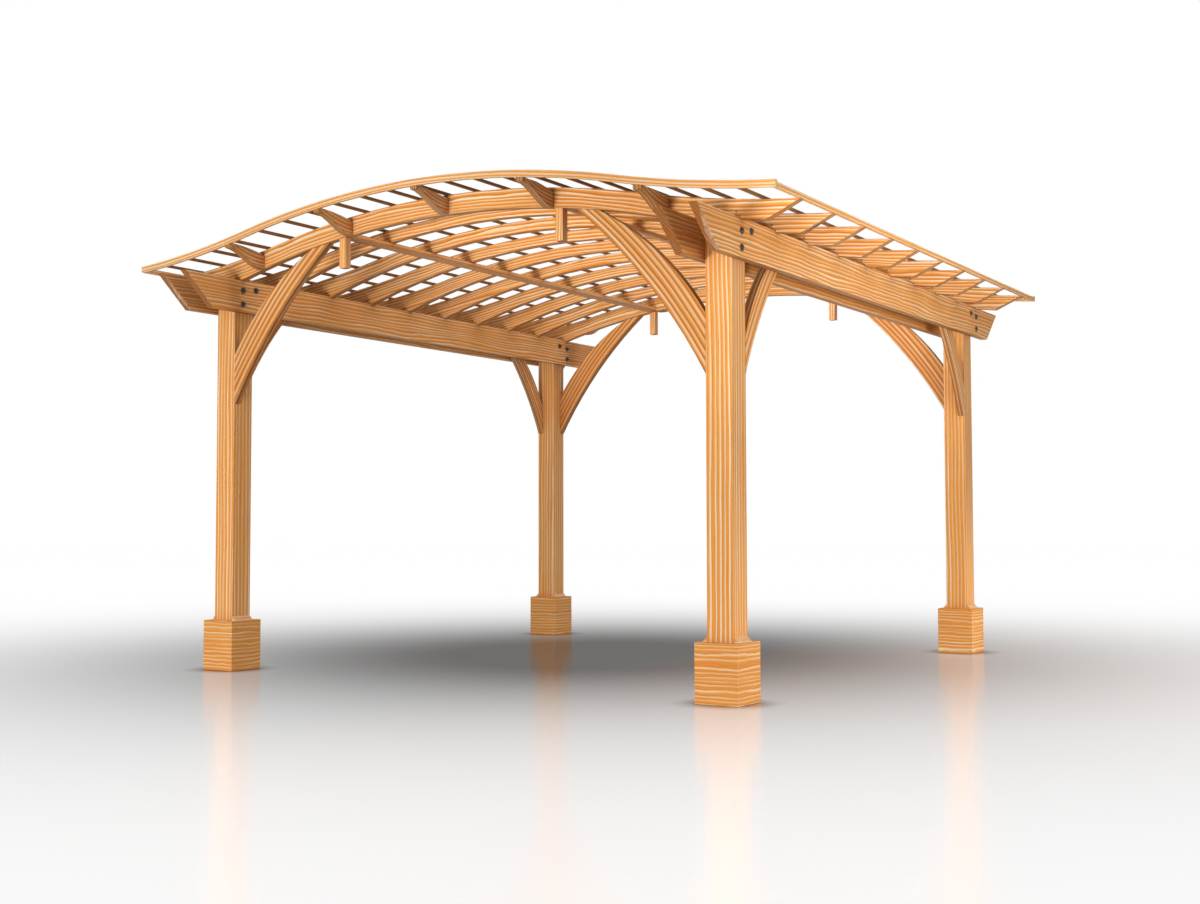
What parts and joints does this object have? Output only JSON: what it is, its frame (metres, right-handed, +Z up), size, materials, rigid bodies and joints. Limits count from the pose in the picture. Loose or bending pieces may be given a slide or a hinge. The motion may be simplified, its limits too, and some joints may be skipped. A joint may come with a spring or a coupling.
{
  "type": "pergola",
  "caption": "Free-standing arched wooden pergola: square posts on boxed bases, twin beams, flared arched rafters, curved braces and a roof of thin slats.",
  "frame": {"origin": "floor level, in the middle between the four posts", "axes": "+X across the arch, +Y along the beams towards the rear, +Z up"},
  "size_m": [4.435, 4.644, 2.8308],
  "materials": {
    "post_wood": "satin",
    "base_wood": "satin",
    "beam_wood": "satin",
    "rafter_wood": "satin",
    "brace_across_wood": "satin",
    "brace_along_wood": "satin",
    "hanger_wood": "satin",
    "purlin_wood": "satin",
    "lookout_wood": "satin",
    "slat_wood": "satin",
    "edge_strip_wood": "satin",
    "eave_strip_wood": "satin"
  },
  "bodies": {
    "root": {"post_front_left": "post_wood", "post_front_right": "post_wood", "post_rear_left": "post_wood", "post_rear_right": "post_wood", "base_front_left": "base_wood", "base_front_right": "base_wood", "base_rear_left": "base_wood", "base_rear_right": "base_wood", "beam_left_inner": "beam_wood", "beam_left_outer": "beam_wood", "beam_right_inner": "beam_wood", "beam_right_outer": "beam_wood", "rafter_01": "rafter_wood", "rafter_02": "rafter_wood", "rafter_03": "rafter_wood", "rafter_04": "rafter_wood", "rafter_05": "rafter_wood", "rafter_06": "rafter_wood", "rafter_07": "rafter_wood", "rafter_08": "rafter_wood", "rafter_09": "rafter_wood", "rafter_10": "rafter_wood", "brace_across_front_left": "brace_across_wood", "brace_across_front_right": "brace_across_wood", "brace_across_rear_left": "brace_across_wood", "brace_across_rear_right": "brace_across_wood", "brace_along_front_left": "brace_along_wood", "brace_along_front_right": "brace_along_wood", "brace_along_rear_left": "brace_along_wood", "brace_along_rear_right": "brace_along_wood", "hanger_front_left": "hanger_wood", "hanger_front_right": "hanger_wood", "hanger_rear_left": "hanger_wood", "hanger_rear_right": "hanger_wood", "purlin_left": "purlin_wood", "purlin_right": "purlin_wood", "lookouts_front": "lookout_wood", "lookouts_rear": "lookout_wood", "roof_slats": "slat_wood", "edge_strip_front": "edge_strip_wood", "edge_strip_rear": "edge_strip_wood", "eave_strip_left": "eave_strip_wood", "eave_strip_right": "eave_strip_wood"}
  },
  "joints": []
}
